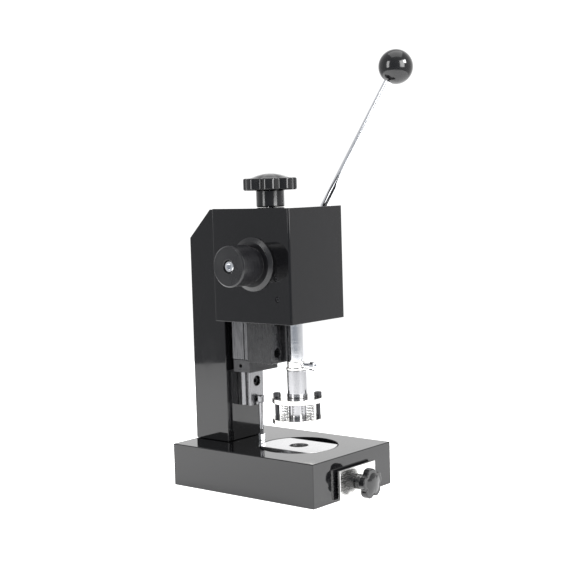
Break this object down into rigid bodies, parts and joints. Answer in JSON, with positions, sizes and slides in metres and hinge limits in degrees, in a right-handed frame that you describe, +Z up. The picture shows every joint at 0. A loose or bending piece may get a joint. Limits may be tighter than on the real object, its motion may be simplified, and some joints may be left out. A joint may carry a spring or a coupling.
{
  "type": "hand-lever disc punch",
  "caption": "Bench press with rack-and-pinion hand lever, guided ram, spring stripper, round punch and die, and a pull-out drawer that catches the cut discs.",
  "frame": {"origin": "centre of the base block's flat underside, on the surface that the press stands on", "axes": "+Z up, -Y towards the operator (drawer side), +X towards the lever"},
  "size_m": [0.158, 0.2389, 0.4623],
  "materials": {
    "gloss_black": "mirror gloss black enamel on steel",
    "black_bracket": "satin black oxide on steel",
    "hard_chrome": "polished hard chrome",
    "ground_steel": "ground steel",
    "bright_nickel": "turned and nickel plated",
    "bronze": "machined bearing bronze",
    "black_phenolic": "polished moulded phenolic",
    "black_oxide": "black oxide on steel",
    "black_plastic": "moulded, fine matte",
    "spring_steel": "drawn spring wire",
    "drawer_steel": "brushed stainless sheet"
  },
  "bodies": {
    "stand": {"base_block": "gloss_black", "column": "gloss_black", "column_bolt_1": "black_oxide", "column_bolt_2": "black_oxide", "head_housing": "gloss_black", "head_bolt_1": "black_oxide", "head_bolt_2": "black_oxide", "head_bolt_3": "black_oxide", "head_bolt_4": "black_oxide", "die_plate": "ground_steel", "die_screw_1": "hard_chrome", "die_screw_2": "hard_chrome", "stop_post": "hard_chrome", "stop_nut": "hard_chrome", "brake_plug": "bronze", "ram_bush": "bronze", "side_set_screw_1": "black_oxide", "side_set_screw_2": "black_oxide", "pinion_bush_right": "bronze", "pinion_bush_left": "bronze", "spring_housing": "gloss_black", "return_spring": "spring_steel", "linear_rail": "ground_steel", "rail_screw_1": "black_oxide", "rail_screw_2": "black_oxide"},
    "lever": {"pinion_shaft": "ground_steel", "end_cap": "black_phenolic", "end_cap_screw": "hard_chrome", "lever_hub": "black_bracket", "rod_set_screw": "black_oxide", "lever_rod": "hard_chrome", "ball_knob": "black_phenolic"},
    "slide": {"carriage_body": "ground_steel", "carriage_end_lower": "black_plastic", "carriage_end_upper": "black_plastic", "slide_bracket": "black_bracket", "ram_bolt": "black_oxide", "bracket_screw_1": "ground_steel", "bracket_screw_2": "ground_steel", "bracket_screw_3": "ground_steel", "bracket_screw_4": "ground_steel", "ram": "hard_chrome", "clamp_collar": "bright_nickel", "punch": "bright_nickel", "punch_plate": "bright_nickel", "stripper_spring_1": "spring_steel", "stripper_spring_2": "spring_steel", "stripper_spring_3": "spring_steel", "stripper_spring_4": "spring_steel"},
    "stripper": {"stripper_ring": "bright_nickel", "shoulder_screw_1": "black_oxide", "shoulder_screw_2": "black_oxide"},
    "punch_clamp": {"clamp_screw": "hard_chrome"},
    "lock": {"star_knob": "black_phenolic", "lock_screw": "ground_steel"},
    "drawer": {"drawer_tray": "drawer_steel", "drawer_front": "drawer_steel"},
    "drawer_handle": {"drawer_knob": "black_phenolic"}
  },
  "joints": [
    {"name": "lever_turn", "type": "hinge", "parent": "stand", "child": "lever", "pos_m": [0, -0.007, 0.2437], "axis": [1, 0, 0], "range_deg": [0, 116.7], "stiffness_Nm_per_rad": 0.5, "springref_deg": -137.51},
    {"name": "ram_slide", "type": "slide", "parent": "stand", "child": "slide", "axis": [0, 0, -1], "range_m": [0, 0.0275]},
    {"name": "stripper_slide", "type": "slide", "parent": "slide", "child": "stripper", "axis": [0, 0, 1], "range_m": [0, 0.0023], "deforming": ["stripper_spring_1", "stripper_spring_2", "stripper_spring_3", "stripper_spring_4"]},
    {"name": "clamp_screw_turn", "type": "hinge", "parent": "slide", "child": "punch_clamp", "pos_m": [0, -0.045, 0.133], "axis": [0, -1, 0], "range_deg": [0, 360]},
    {"name": "lock_turn", "type": "hinge", "parent": "stand", "child": "lock", "pos_m": [0, 0.0045, 0.32], "axis": [0, 0, 1], "range_deg": [0, 180]},
    {"name": "drawer_slide", "type": "slide", "parent": "stand", "child": "drawer", "axis": [0, -1, 0], "range_m": [0, 0.075]},
    {"name": "drawer_knob_turn", "type": "hinge", "parent": "drawer", "child": "drawer_handle", "pos_m": [0, -0.11, 0.0165], "axis": [0, -1, 0], "range_deg": [0, 360]}
  ],
  "couplings": [
    {"joint": "ram_slide", "follows": "lever_turn", "m_per_rad": 0.0135},
    {"joint": "stripper_slide", "follows": "lever_turn", "m_per_rad": 0.0011}
  ]
}
